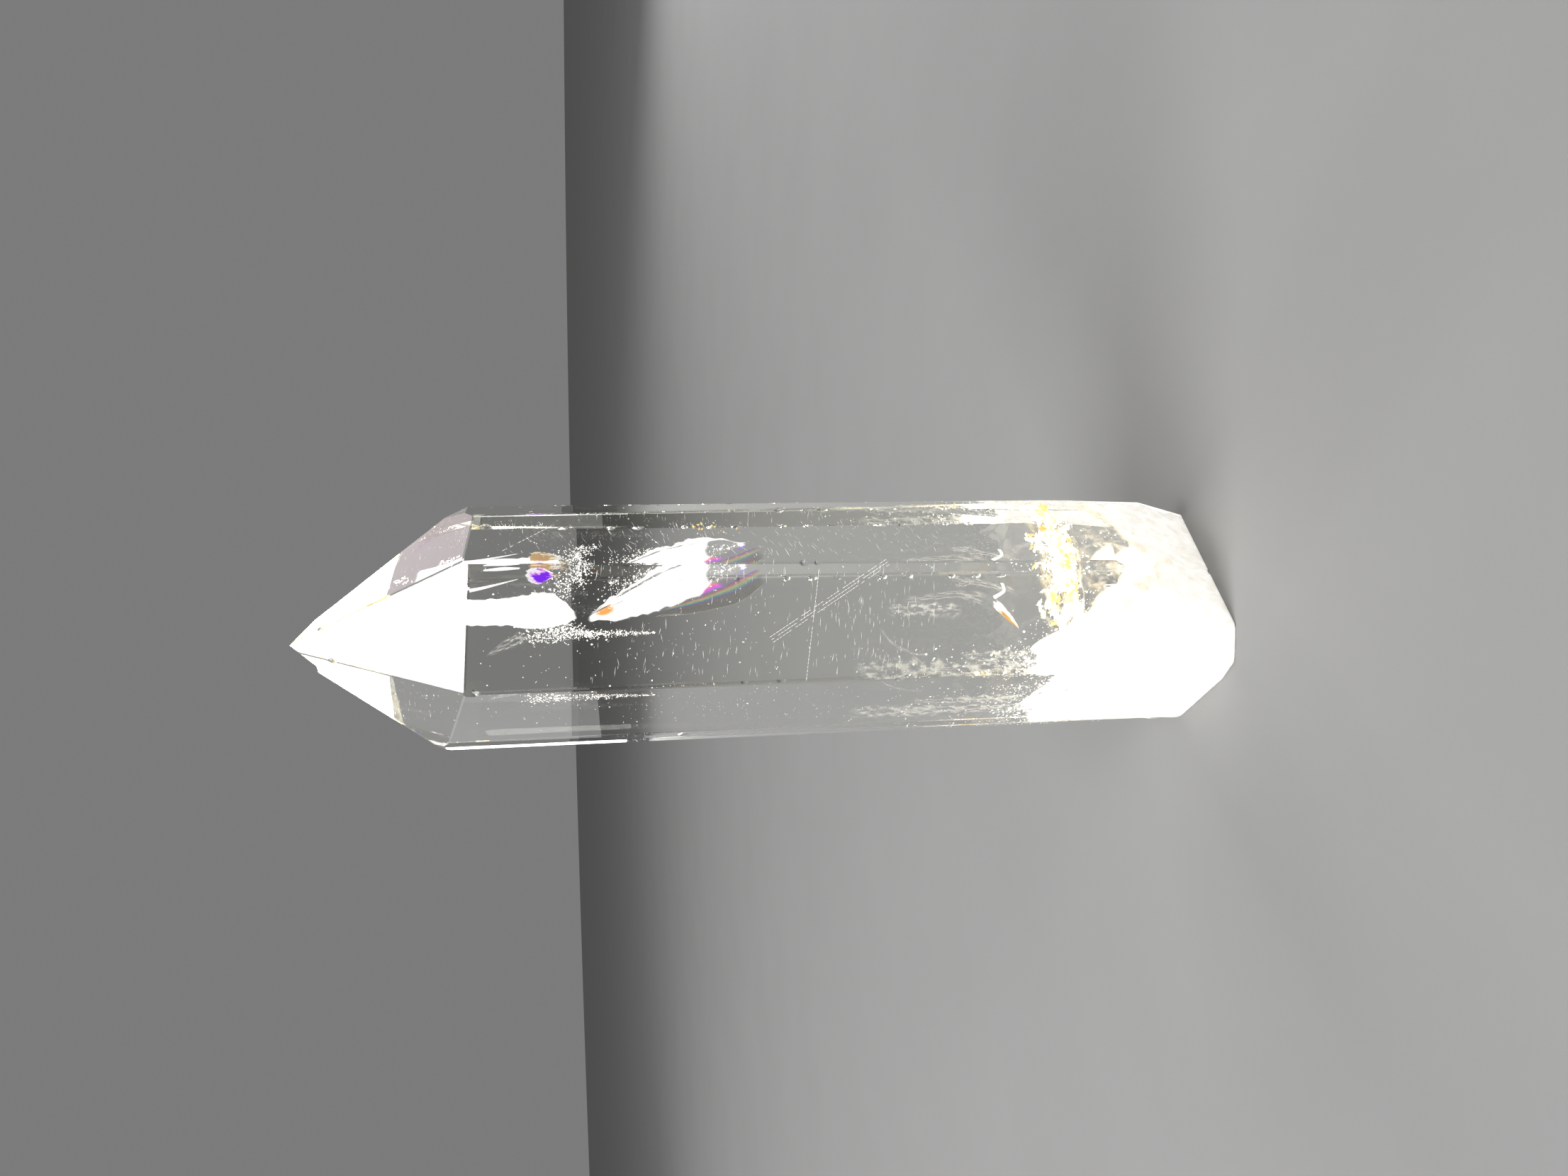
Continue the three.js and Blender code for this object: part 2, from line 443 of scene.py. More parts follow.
def rim_sheet(
    name, left, right, finish, hollow=0.0, ripple=0.0, ragged=0.0, rows=64, columns=28, seed=1
):
    """A sheet whose rows run straight from the left rim to the right rim. Its middle lies deeper by hollow,
    its surface waves by ripple, and both rims wander sideways by ragged, all in mm."""
    dice = np.random.default_rng(seed)
    left_rim = smooth_path(left, rows)[:, None]
    right_rim = smooth_path(right, rows)[:, None]
    along, across = np.meshgrid(np.linspace(0, 1, rows), np.linspace(0, 1, columns), indexing="ij")
    points = left_rim + (right_rim - left_rim) * across[..., None]
    waves = ripple * lumps(points, RIPPLE_LENGTH, dice)
    points[..., 1] += hollow * 4 * across * (1 - across) + waves
    points[..., 0] += ragged * lumps(points, RAGGED_LENGTH, dice) * (2 * across - 1) ** 4
    return add_sheet(name, points, np.stack([across, along], axis=-1), finish)


# %% [markdown]
# The gap of a crack throws light back like a white mirror. Where it is thinner than a hair it shows the
# colours of a soap film. One setting of the shader would give the whole sheet one thickness, so a colour
# ramp makes the bands instead. The finish goes by the place on the sheet: how far from the rims, and how
# far from its head. Each of these sheets also glows in its own colours, which is painted light.

# %% Helpers for sheet finishes
FILM_COLOURS = (
    (0.0, (1.0, 0.85, 0.45)),
    (0.15, (0.95, 0.35, 0.15)),
    (0.30, (0.75, 0.10, 0.75)),
    (0.45, (0.12, 0.20, 0.95)),
    (0.60, (0.10, 0.70, 0.75)),
    (0.78, (0.70, 0.90, 0.40)),
    (1.0, (1.0, 0.85, 0.45)),
)


def sheet_axes(tree):
    """How far across and along the sheet a point lies, each from 0 to 1."""
    sheet_map = node(tree, "ShaderNodeUVMap", {"uv_map": "sheet"})
    across = node(tree, "ShaderNodeSeparateXYZ", {}, {0: sheet_map}, "X")
    along = node(tree, "ShaderNodeSeparateXYZ", {}, {0: sheet_map}, "Y")
    return sheet_map, across, along


def stretched(vector, x, y):
    """A vector with its first two axes times a factor each."""
    sockets = {0: vector, 1: (x, y, 1.0)}
    return node(vector.tree, "ShaderNodeVectorMath", {"operation": "MULTIPLY"}, sockets)


def distance(vector, place):
    """How far a vector is from a fixed place."""
    sockets = {0: vector, 1: place}
    return node(vector.tree, "ShaderNodeVectorMath", {"operation": "DISTANCE"}, sockets, "Value")


# %% Crack finish
PURE_WHITE = (1.0, 1.0, 1.0, 1.0)
FILM_STRENGTH = 0.8
HOLE_WIDE, HOLE_HIGH = 2.0, 2.6
EMBER_COLOUR = (0.90, 0.36, 0.10, 1.0)
EMBER_STRETCH = (0.8, 2.6)


def crack_finish(name, film_width, wear=0.0, streaks=(9.0, 2.5), hole=None, ember=None):
    """White where the gap is wide. Near the foot, within film_width of the left rim, it is a coloured
    film, and with a width below zero there is none. Wear breaks up its upper right. A hole is an oval with
    hardly any white about an x and a z in mm. An ember is a patch of orange film about a place on the
    sheet, given after its stretch. The sheet glows in its own colours, which is painted light."""
    material, tree, place = new_finish(name)
    sheet_map, across, along = sheet_axes(tree)
    wobble = noise(per_mm(place, 0.35, 0.35, 0.25), detail=3.0) - 0.5
    streak = noise(stretched(sheet_map, *streaks), detail=6.0)
    reach = across + wobble * 0.25
    film_edge = reach + (1 - along.step(0.40, 0.75)) * 0.4
    white = film_edge.step(film_width, film_width + 0.07)
    rainbow = ramp((along * 0.5 - reach * 1.5 + 0.07).fraction(), *FILM_COLOURS)
    colour = blend(white, rainbow, PURE_WHITE)
    rims = (0.5 - abs(across - 0.5) + wobble * 0.16).step(0.01, 0.06)
    tips = (0.5 - abs(along - 0.5) + wobble * 0.10).step(0.0, 0.04)
    torn = (streak - across * (1 - along) * wear).step(0.24, 0.32) * 0.85 + 0.15
    strength = (white * torn + (1 - white) * FILM_STRENGTH) * rims * tips
    if hole is not None:
        x, z = hole
        oval = per_mm(place, 1 / HOLE_WIDE, 0.0, 1 / HOLE_HIGH)
        away = distance(oval, (x / HOLE_WIDE, 0.0, z / HOLE_HIGH)) + wobble * 0.6
        strength = strength * (away.step(0.85, 1.05) * 0.92 + 0.08)
    if ember is not None:
        away = distance(stretched(sheet_map, *EMBER_STRETCH), (*ember, 0.0)) + wobble * 0.3
        colour = blend(1 - away.step(0.10, 0.22), colour, EMBER_COLOUR)
    bump = node(tree, "ShaderNodeBump", {}, {"Strength": 0.7, "Distance": 0.0006, "Height": streak})
    sockets = {
        "Base Color": colour,
        "Metallic": 0.2,
        "Roughness": 0.3,
        "Alpha": strength,
        # Emission is painted light: a glow that stands for the light the crack throws back.
        "Emission Color": colour,
        "Emission Strength": 0.75,
        "Normal": bump,
    }
    put_out(tree, node(tree, "ShaderNodeBsdfPrincipled", {}, sockets))
    return material


# %% Film and spot finishes
def dark_film_finish(name):
    """A film so thin that it hardly mirrors. Its left rim is pale, next to that it is dark, and on the
    right it has bands of colour that run with its rims. It glows faintly in its colours: painted light."""
    material, tree, place = new_finish(name)
    _, across, along = sheet_axes(tree)
    wobble = noise(per_mm(place, 0.5, 0.5, 0.3), detail=2.0) - 0.5
    phase = across * 2.2 + wobble * 0.25 + along * 0.35
    rainbow = ramp(phase.fraction(), *FILM_COLOURS)
    dark = blend((across + wobble * 0.1).step(0.35, 0.75), (0.30, 0.29, 0.25, 1.0), rainbow)
    rim = 1 - across.step(0.01, 0.06)
    colour = blend(rim, dark, (0.85, 0.83, 0.74, 1.0))
    tips = (0.5 - abs(along - 0.5)).step(0.0, 0.08)
    sockets = {
        "Base Color": colour,
        "Metallic": 0.6,
        "Roughness": 0.25,
        "Alpha": tips * 0.5,
        # Emission is painted light: a faint glow in the film's colours.
        "Emission Color": colour,
        "Emission Strength": 0.15,
    }
    put_out(tree, node(tree, "ShaderNodeBsdfPrincipled", {}, sockets))
    return material


def spot_finish(name, core, heart, heart_colour, halo_colour):
    """A tiny mirror, white at its rims. About its core, a place across and along the sheet, it has one
    strong film colour out to the distance heart, and then a halo of another. It glows in these colours:
    painted light."""
    material, tree, _ = new_finish(name)
    sheet_map, across, along = sheet_axes(tree)
    wobble = noise(stretched(sheet_map, 3.2, 3.2), detail=4.0) - 0.5
    away = distance(sheet_map, (*core, 0.0)) + wobble * 1.3
    stops = (
        (0.0, heart_colour),
        (heart, heart_colour),
        (heart + 0.1, halo_colour),
        (heart + 0.25, PURE_WHITE[:3]),
    )
    colour = ramp(away, *stops)
    rims = (0.5 - abs(across - 0.5) + wobble * 0.5).step(0.02, 0.06)
    tips = (0.5 - abs(along - 0.5) + wobble * 0.5).step(0.02, 0.06)
    sockets = {
        "Base Color": colour,
        "Metallic": 0.3,
        "Roughness": 0.25,
        "Alpha": rims * tips,
        # Emission is painted light: the spot glows in its own colours.
        "Emission Color": colour,
        "Emission Strength": 0.55,
    }
    put_out(tree, node(tree, "ShaderNodeBsdfPrincipled", {}, sockets))
    return material


# %% Wisp finish
def wisp_finish(name, light, dark, strength, grain=(6.0, 6.0)):
    """A pale veil that is thick in places and missing in others, with a faint glow of painted light."""
    material, tree, _ = new_finish(name)
    sheet_map, across, along = sheet_axes(tree)
    cloud = noise(stretched(sheet_map, *grain), detail=7.0)
    colour = ramp(cloud, (0.40, dark), (0.60, light))
    rims = (0.5 - abs(across - 0.5)).step(0.0, 0.22) * (0.5 - abs(along - 0.5)).step(0.0, 0.15)
    alpha = cloud.step(0.42, 0.62) * rims * strength
    sockets = {
        "Base Color": colour,
        "Roughness": 0.4,
        "Alpha": alpha,
        # Emission is painted light: a faint glow in the veil's colour.
        "Emission Color": colour,
        "Emission Strength": 0.25,
    }
    put_out(tree, node(tree, "ShaderNodeBsdfPrincipled", {}, sockets))
    return material


# %% [markdown]
# The great crack stands behind the front right edge, 22 mm long, and leans to the right as it goes down.
# A thinner lobe of it below on the left is a dark rainbow film. Above it a white column hangs from the
# shoulder of the point. Their rims were read from the photograph by following the bent rays inwards.

# %% The great crack
great_white = crack_finish("great_crack_film", 0.16, wear=0.28, hole=(7.6, 74.2), ember=(0.42, 0.33))
rim_sheet(
    "great_crack",
    [(1.2, -4.0, 93.0), (1.3, -4.0, 87.0), (3.4, -4.2, 78.8), (5.2, -4.4, 75.0), (8.0, -4.6, 70.4)],
    [(2.0, -4.4, 92.7), (5.2, -5.4, 88.4), (8.9, -6.2, 82.0), (10.2, -6.2, 76.0), (8.5, -5.0, 70.4)],
    great_white, hollow=0.9, ripple=0.16, ragged=0.25, rows=96, columns=48,
)
film_lobe = dark_film_finish("film_lobe_film")
rim_sheet(
    "film_lobe",
    [(1.5, -4.4, 84.0), (1.9, -4.6, 78.0), (3.2, -4.8, 72.0), (6.0, -5.0, 68.0)],
    [(2.4, -4.3, 83.0), (4.2, -4.5, 77.0), (6.2, -4.7, 72.5), (8.0, -5.0, 69.0)],
    film_lobe, hollow=0.4, ripple=0.05, ragged=0.04,
)
ALL_WHITE = -0.5
column_white = crack_finish("column_film", ALL_WHITE, streaks=(12.0, 1.2))
rim_sheet(
    "white_column",
    [(1.0, 0.2, 112.0), (0.8, 0.0, 105.0), (0.2, 0.0, 98.0), (1.6, 0.2, 94.0)],
    [(5.0, 0.2, 112.0), (4.6, 0.0, 105.0), (5.4, 0.0, 98.0), (2.6, 0.2, 94.2)],
    column_white, hollow=0.8, ripple=0.2, ragged=0.12, rows=80, columns=40, seed=4,
)

# %% [markdown]
# Between the crack and the column lies a small spot that is purple on one side and orange on the other, with
# tan shards below it and bright slivers above.

# %% Spots and slivers near the crack
spot_film = spot_finish("spot_film", (0.42, 0.62), 0.24, (0.22, 0.02, 0.95), (0.85, 0.35, 0.98))
rim_sheet(
    "purple_spot",
    [(6.5, -12.9, 100.8), (6.0, -12.8, 99.2), (6.9, -12.8, 97.2)],
    [(7.9, -12.9, 100.9), (8.3, -12.9, 99.0), (7.4, -12.8, 97.1)],
    spot_film, hollow=0.1, rows=28, columns=28, seed=5,
)
amber_film = spot_finish("amber_film", (0.45, 0.35), 0.34, (0.60, 0.40, 0.18), (0.90, 0.76, 0.52))
rim_sheet(
    "amber_spot",
    [(7.9, -11.5, 100.6), (7.8, -11.5, 98.6), (8.1, -11.5, 96.0)],
    [(9.3, -11.0, 100.2), (9.4, -11.0, 98.4), (8.4, -11.3, 95.8)],
    amber_film, ripple=0.05, rows=28, columns=24, seed=6,
)
tan_film = wisp_finish("tan_wisp", (0.80, 0.66, 0.46), (0.45, 0.36, 0.26), 0.85, grain=(3.0, 3.0))
rim_sheet(
    "tan_shards",
    [(6.0, -12.6, 97.6), (6.9, -12.6, 96.2), (8.1, -12.6, 94.8)],
    [(8.5, -12.6, 97.6), (8.5, -12.6, 96.2), (8.4, -12.6, 94.8)],
    tan_film, ripple=0.1, ragged=0.2, rows=28, columns=24, seed=10,
)
# The bright slivers are real cracks that mirror light, and their white glow is painted light.
shine = crack_finish("shine_film", ALL_WHITE)
rim_sheet(
    "bright_oval",
    [(7.9, -11.4, 106.2), (7.9, -11.4, 104.0), (8.1, -11.4, 101.4)],
    [(8.1, -11.4, 106.2), (8.4, -11.3, 103.6), (8.3, -11.3, 101.4)],
    shine, hollow=0.1, rows=32, columns=12, seed=7,
)
rim_sheet(
    "bright_sliver",
    [(5.2, -4.0, 109.0), (5.8, -4.0, 106.2), (7.0, -4.2, 101.8)],
    [(5.8, -4.0, 109.1), (6.2, -4.0, 106.2), (7.1, -4.2, 101.7)],
    shine, rows=40, columns=8, seed=8,
)
pale = wisp_finish("pale_wisp", (0.95, 0.94, 0.90), (0.75, 0.74, 0.70), 0.75)
rim_sheet(
    "grey_shard",
    [(-3.4, 0.0, 106.5), (-2.2, 0.0, 102.5), (-1.0, 0.0, 100.0)],
    [(-3.3, 0.0, 106.6), (-0.6, 0.0, 103.4), (0.2, 0.0, 101.6)],
    pale, rows=32, columns=20, seed=9,
)
lilac = wisp_finish("lilac_wisp", (0.62, 0.42, 0.58), (0.34, 0.20, 0.32), 0.8, grain=(2.0, 2.0))
rim_sheet(
    "lilac_streak",
    [(9.6, -4.6, 115.8), (11.4, -4.8, 113.6), (13.6, -5.2, 110.8)],
    [(10.6, -3.6, 115.6), (12.8, -3.4, 113.2), (14.8, -3.9, 110.6)],
    lilac, rows=32, columns=16, seed=17,
)


# %% [markdown]
# The small things inside are flakes: dust along healed cracks, and the crumbled white quartz of the root.
# They could be thousands of objects, but one mesh of them all is easier to handle. So a flake is a
# stretched octahedron, six points and eight faces, and thousands are worked out at once.

# %% Flakes
OCTAHEDRON = np.array([[1, 0, 0], [-1, 0, 0], [0, 1, 0], [0, -1, 0], [0, 0, 1], [0, 0, -1]], float)
OCTAHEDRON_FACES = np.array(
    [[0, 2, 4], [2, 1, 4], [1, 3, 4], [3, 0, 4], [2, 0, 5], [1, 2, 5], [3, 1, 5], [0, 3, 5]]
)
FLAKE_CLEARANCE = 0.06
SMALLEST_FLAKE = 0.02


def random_turns(count, dice, tilt=1.0):
    """Turns as matrices, from random unit quaternions: spread evenly over all directions, or mostly about
    the upright axis where tilt is small."""
    quaternions = dice.normal(size=(4, count)) * np.array([[1.0], [tilt], [tilt], [1.0]])
    w, x, y, z = quaternions / np.linalg.norm(quaternions, axis=0)
    rows = [
        [1 - 2 * (y * y + z * z), 2 * (x * y - z * w), 2 * (x * z + y * w)],
        [2 * (x * y + z * w), 1 - 2 * (x * x + z * z), 2 * (y * z - x * w)],
        [2 * (x * z - y * w), 2 * (y * z + x * w), 1 - 2 * (x * x + y * y)],
    ]
    return np.moveaxis(np.array(rows), 2, 0)


def add_flakes(name, centres, largest, finish, dice, thinnest=0.2, tilt=1.0):
    """Flakes of random size up to largest mm, thinner one way, kept clear of the faces."""
    count = len(centres)
    size = largest * dice.uniform(0.25, 1.0, size=(count, 1)) ** 1.5
    room = depth_inside(centres)[:, None] - FLAKE_CLEARANCE
    size = np.minimum(size, np.maximum(room, SMALLEST_FLAKE))
    radii = size * dice.uniform((0.6, 0.4, thinnest), (1.0, 0.8, thinnest * 2), size=(count, 3))
    shapes = OCTAHEDRON[None] * radii[:, None, :]
    corners = np.einsum("nij,nkj->nki", random_turns(count, dice, tilt), shapes) + centres[:, None, :]
    offsets = np.arange(count)[:, None, None] * len(OCTAHEDRON)
    faces = (OCTAHEDRON_FACES[None] + offsets).reshape(-1, 3)
    return settle(add_mesh(name, corners.reshape(-1, 3) * MM, faces, finish))


def speck_finish(name, light, dark, glow=0.9):
    """A plain speckled colour. The glow stands for the light that many bounces inside would bring."""
    material, tree, place = new_finish(name)
    colour = ramp(noise(per_mm(place, 0.6, 0.6, 0.6)), (0.35, dark), (0.65, light))
    sockets = {
        "Base Color": colour,
        "Roughness": 0.3,
        "Emission Color": colour,
        "Emission Strength": glow,
    }
    put_out(tree, node(tree, "ShaderNodeBsdfPrincipled", {}, sockets))
    return material


# %% [markdown]
# Dust hangs in streaks where a crack has healed. Each streak is given by its head, its foot, how far it
# spreads sideways and how many flakes it has, and a few flakes lie loose between them.

# %% Dust
DUST_STREAKS = [
    ((-0.6, 5.5, 100.0), (-0.6, 6.0, 83.0), (0.55, 0.8, 0.8), 800),
    ((0.8, 0.5, 97.5), (-0.6, 1.0, 92.0), (0.9, 0.5, 0.8), 400),
    ((5.0, -5.5, 97.0), (9.0, -7.0, 91.5), (1.3, 0.8, 0.9), 420),
    ((4.5, -5.0, 90.0), (8.0, -6.0, 84.0), (1.2, 0.6, 1.0), 260),
    ((7.6, -11.0, 94.6), (10.0, -10.0, 93.4), (0.5, 0.4, 0.5), 90),
    ((6.77, -6.7, 117.0), (6.9, -6.9, 115.8), (0.35, 0.3, 0.35), 60),
    ((8.3, -10.9, 112.4), (9.6, -12.6, 108.6), (0.4, 0.3, 0.5), 110),
    ((7.0, -5.0, 75.8), (8.6, -5.2, 71.6), (0.7, 0.4, 0.4), 90),
]
LOOSE_DUST = 200
LOOSE_LOW, LOOSE_HIGH = (-9.0, -10.0, 66.0), (9.0, 10.0, 108.0)
DUST_DEPTH = 0.4
LARGEST_DUST = 0.24


def streak_of_dust(head, foot, spread, count, dice):
    """Places along a line, denser at its head, that spread sideways by so many mm."""
    along = dice.uniform(0, 1, size=(count, 1)) ** 1.4
    aside = dice.normal(size=(count, 3)) * spread * (1.15 - along)
    return np.array(head) + along * (np.array(foot) - head) + aside


white_speck = speck_finish("white_speck", (1.0, 0.99, 0.96), (0.93, 0.91, 0.86))
dust_dice = np.random.default_rng(21)
streaks = [streak_of_dust(*streak, dust_dice) for streak in DUST_STREAKS]
loose = dust_dice.uniform(LOOSE_LOW, LOOSE_HIGH, size=(LOOSE_DUST, 3))
dust = np.concatenate([*streaks, loose])
dust = dust[depth_inside(dust) > DUST_DEPTH]
add_flakes("dust", dust, LARGEST_DUST, white_speck, dust_dice)

# %% [markdown]
# Handling has scratched the faces. A scratch could be cut into the solid or drawn as roughness, but it is
# far narrower than a face and has to stay crisp. So it is a row of short bright slivers just under the
# face: level ones across the front, slanting ones on the front right, and three long parallel ones from
# the middle down.

# %% Scratches
SCRATCH_DEPTH = 0.03
FLOCKS = 9
GATHERED_SHARE = 0.5
FLOCK_WIDE, FLOCK_HIGH = 1.0, 4.0


def on_face(face, x, z, depth):
    """The point with this x and z that lies depth mm under a face."""
    outward, reach = face
    y = (reach - depth - outward[0] * x - outward[2] * z) / outward[1]
    return np.stack([x, y, z], axis=-1)


def add_slivers(name, face, x, z, slant, length, width, finish):
    """Flat diamonds under a face, at x and z, with their long way raised by slant degrees from level."""
    middle = on_face(face, x, z, SCRATCH_DEPTH)
    rise = np.radians(slant)
    ahead = on_face(face, x + np.cos(rise), z + np.sin(rise), SCRATCH_DEPTH) - middle
    ahead /= np.linalg.norm(ahead, axis=1, keepdims=True)
    aside = np.cross(face[0], ahead)
    far = ahead * length[:, None] / 2
    wide = aside * width[:, None] / 2
    corners = np.stack([middle - far, middle - wide, middle + far, middle + wide], axis=1)
    faces = np.arange(len(corners) * 4).reshape(-1, 4)
    return settle(add_mesh(name, corners.reshape(-1, 3) * MM, faces, finish))


front = face_towards(-4, 0)
front_right = face_towards(45, 0)
front_left = face_towards(-61, 0)
scratch_dice = np.random.default_rng(31)


def random_slivers(name, face, count, x_range, z_range, slants, longest):
    """Scratches in loose flocks: half of them gather around a few places."""
    x = scratch_dice.uniform(*x_range, count)
    z = scratch_dice.uniform(*z_range, count)
    flock = scratch_dice.integers(0, FLOCKS, count)
    heart_x = scratch_dice.uniform(*x_range, FLOCKS)
    heart_z = scratch_dice.uniform(*z_range, FLOCKS)
    gathered = scratch_dice.random(count) < GATHERED_SHARE
    x = np.where(gathered, heart_x[flock] + scratch_dice.normal(0, FLOCK_WIDE, count), x)
    z = np.where(gathered, heart_z[flock] + scratch_dice.normal(0, FLOCK_HIGH, count), z)
    x = np.clip(x, *x_range)
    z = np.clip(z, *z_range)
    slant = scratch_dice.normal(*slants, count)
    length = longest * scratch_dice.uniform(0.15, 1.0, count) ** 2 + 0.12
    width = scratch_dice.uniform(0.02, 0.06, count)
    return add_slivers(name, face, x, z, slant, length, width, white_speck)


random_slivers("scratches_front", front, 420, (-7.0, 8.6), (46.0, 94.0), (-4.0, 7.0), 1.6)
random_slivers("scratches_right", front_right, 300, (9.4, 13.8), (44.0, 104.0), (28.0, 14.0), 1.5)
random_slivers("scratches_left", front_left, 120, (-14.0, -8.8), (50.0, 88.0), (10.0, 25.0), 0.8)


# %% Long scratches
DASH_STEP = 0.5
SKIPPED_SHARE = 0.2


def long_scratches(name, face, start, end, gap, rows, width):
    """Parallel rows of dashes from start to end, each (x, z), with gaps where the scratch skipped."""
    start = np.array(start)
    end = np.array(end)
    way = (end - start) / np.linalg.norm(end - start)
    across = np.array([-way[1], way[0]])
    count = int(np.linalg.norm(end - start) / DASH_STEP)
    places = start + np.linspace(0, 1, count)[:, None] * (end - start)
    shifts = (np.arange(rows) - (rows - 1) / 2) * gap
    x, z = (places[None] + across * shifts[:, None, None]).reshape(-1, 2).T
    kept = scratch_dice.random(len(x)) > SKIPPED_SHARE
    slant = np.full(kept.sum(), np.degrees(np.arctan2(way[1], way[0])))
    length = scratch_dice.uniform(0.5, 0.75, kept.sum())
    widths = np.full(kept.sum(), width)
    return add_slivers(name, face, x[kept], z[kept], slant, length, widths, white_speck)


long_scratches("scratch_triple", front, (-2.0, 68.6), (7.9, 52.8), 0.42, 3, 0.07)
long_scratches("scratch_level", front, (-7.5, 64.0), (7.0, 62.2), 0.5, 1, 0.07)
long_scratches("scratch_right", front_right, (10.2, 104.0), (13.6, 97.5), 0.5, 1, 0.09)

# %% [markdown]
# Two small bruises lie just under the right face of the point. They are slivers too, but broader ones that
# cross each other every way.

# %% Bruises on the right face of the point
tip_right = face_towards(51, 37)
BRUISE_X, BRUISE_Z = (6.8, 8.9), (116.6, 111.0)
BRUISE_SLIVERS = (18, 30)
BRUISE_WIDE, BRUISE_HIGH = 0.28, 0.55
slivers = sum(BRUISE_SLIVERS)
bruise_x = np.repeat(BRUISE_X, BRUISE_SLIVERS) + scratch_dice.normal(0, BRUISE_WIDE, slivers)
bruise_z = np.repeat(BRUISE_Z, BRUISE_SLIVERS) + scratch_dice.normal(0, BRUISE_HIGH, slivers)
bruise_slant = scratch_dice.uniform(0, 180, slivers)
bruise_length = scratch_dice.uniform(0.3, 0.8, slivers)
bruise_width = scratch_dice.uniform(0.12, 0.35, slivers)
add_slivers(
    "tip_bruises", tip_right, bruise_x, bruise_z, bruise_slant, bruise_length, bruise_width, white_speck
)

# %% [markdown]
# Below the middle hang pale wisps. The plainest is a hook: a faint stem that comes down, bends to the left
# and ends in a bright shard with orange rims. All are sheets between two rims like the crack, most of them
# with a softer finish.

# %% Wisps
rim_sheet(
    "hook_stem",
    [(2.4, 0.2, 48.0), (2.8, 0.0, 43.0), (2.9, -0.2, 39.0), (1.6, -0.4, 35.0)],
    [(3.6, 0.3, 48.0), (4.0, 0.1, 43.0), (4.5, -0.1, 39.0), (3.8, -0.4, 34.4)],
    pale, ripple=0.2, ragged=0.2, seed=11,
)
shard_film = spot_finish("shard_film", (0.1, 0.7), 0.30, (0.75, 0.42, 0.14), (0.95, 0.80, 0.60))
rim_sheet(
    "hook_shard",
    [(2.1, -0.4, 34.4), (0.1, -0.5, 32.2), (-1.6, -0.6, 30.1)],
    [(3.0, -0.4, 33.4), (0.9, -0.6, 31.4), (-1.4, -0.6, 29.9)],
    shard_film, ripple=0.15, rows=48, columns=24, seed=12,
)
rim_sheet(
    "hook_tail",
    [(2.8, -0.4, 33.6), (3.9, -0.5, 32.0), (5.2, -0.5, 32.2)],
    [(3.3, -0.4, 34.0), (4.2, -0.5, 32.5), (5.3, -0.5, 32.8)],
    shine, rows=24, columns=8, seed=13,
)
rim_sheet(
    "pale_arc",
    [(-5.2, 0.0, 43.5), (-5.0, 0.0, 46.0), (-3.4, 0.0, 49.3), (-0.6, 0.0, 51.4)],
    [(-4.8, 0.0, 43.5), (-4.5, 0.0, 46.0), (-3.0, 0.0, 48.9), (-0.6, 0.0, 51.1)],
    pale, rows=48, columns=8, seed=14,
)
rim_sheet(
    "pale_drop",
    [(4.6, 0.0, 39.6), (4.7, 0.0, 38.0), (5.4, 0.0, 36.4)],
    [(5.0, 0.0, 39.8), (5.9, 0.0, 38.2), (5.8, 0.0, 36.4)],
    pale, rows=24, columns=16, seed=15,
)
rim_sheet(
    "streak_right",
    [(5.6, -2.0, 41.0), (4.6, -2.0, 36.0), (3.4, -2.0, 30.5)],
    [(6.6, -2.0, 41.0), (5.8, -2.0, 36.0), (4.2, -2.0, 30.5)],
    pale, ripple=0.15, ragged=0.2, seed=16,
)

# %% [markdown]
# A haze of tall thin veils fades out above the root, most of it on the left. Each veil is given by its left
# and right x, its y, and its lowest and highest z.

# %% Haze above the root
HAZE_PLACES = [
    (-12.0, -9.0, 2.0, 27.0, 48.0),
    (-8.6, -6.4, 2.0, 27.0, 46.0),
    (-6.6, -4.6, 5.0, 26.0, 38.0),
    (-9.5, -5.5, 8.0, 38.0, 54.0),
    (0.6, 2.6, 1.0, 38.0, 50.0),
]
FIRST_HAZE_SEED = 80
haze = wisp_finish("haze", (0.97, 0.96, 0.92), (0.78, 0.77, 0.72), 0.75, grain=(5.0, 9.0))
for number, (x_left, x_right, y, low, high) in enumerate(HAZE_PLACES):
    half_way = (low + high) / 2
    rim_sheet(
        f"haze_{number}",
        [(x_left, y, high), (x_left - 0.3, y, half_way), (x_left, y, low)],
        [(x_right, y, high), (x_right + 0.4, y, half_way), (x_right, y, low)],
        haze, ripple=0.4, ragged=0.5, seed=FIRST_HAZE_SEED + number,
    )


# %% [markdown]
# The root is milky: full of tiny cracks that throw all light back. It rises highest on the left, stays
# low on the right, and has a clear pocket on the front right above the foot. A volume that scatters light
# would be truer, but it is slow and grainy inside glass. So a dense body just inside the faces gives the
# white, with a torn top, and thousands of small flakes make it crumble into the clear quartz. Body and
# flakes also glow in their colours: painted light for the light that the tiny cracks scatter.

# %% Shape of the milky root
ROOT_AXIS = np.array([-1.5, 1.0])
ROOT_INSET = 0.15
ROOT_FLOOR = 0.12
ROOT_RADIUS = 12.0
TORN_ABOVE = 2.5
LOWEST_TOP = 1.5
LID_LIFT = 1.5
CLEAR_BACK = 0.22
CLEAR_FROM = 5.0


def backward(y):
    """0 in the front half of the root and 1 at its back, with a smooth rise between them."""
    part = ((y - ROOT_AXIS[1]) / ROOT_RADIUS / 0.8 + 0.1).clip(0, 1)
    return part**2 * (3 - 2 * part)


def root_height(x, y):
    """The height in mm of the milk: 27.5 on the front left and 19.5 on the front right. Towards the back it
    drops by 3 on the left and 18 on the right."""
    side = np.tanh((x + 1.0) / 3.0)
    return 23.5 - 4.0 * side - (10.5 + 7.5 * side) * backward(y)


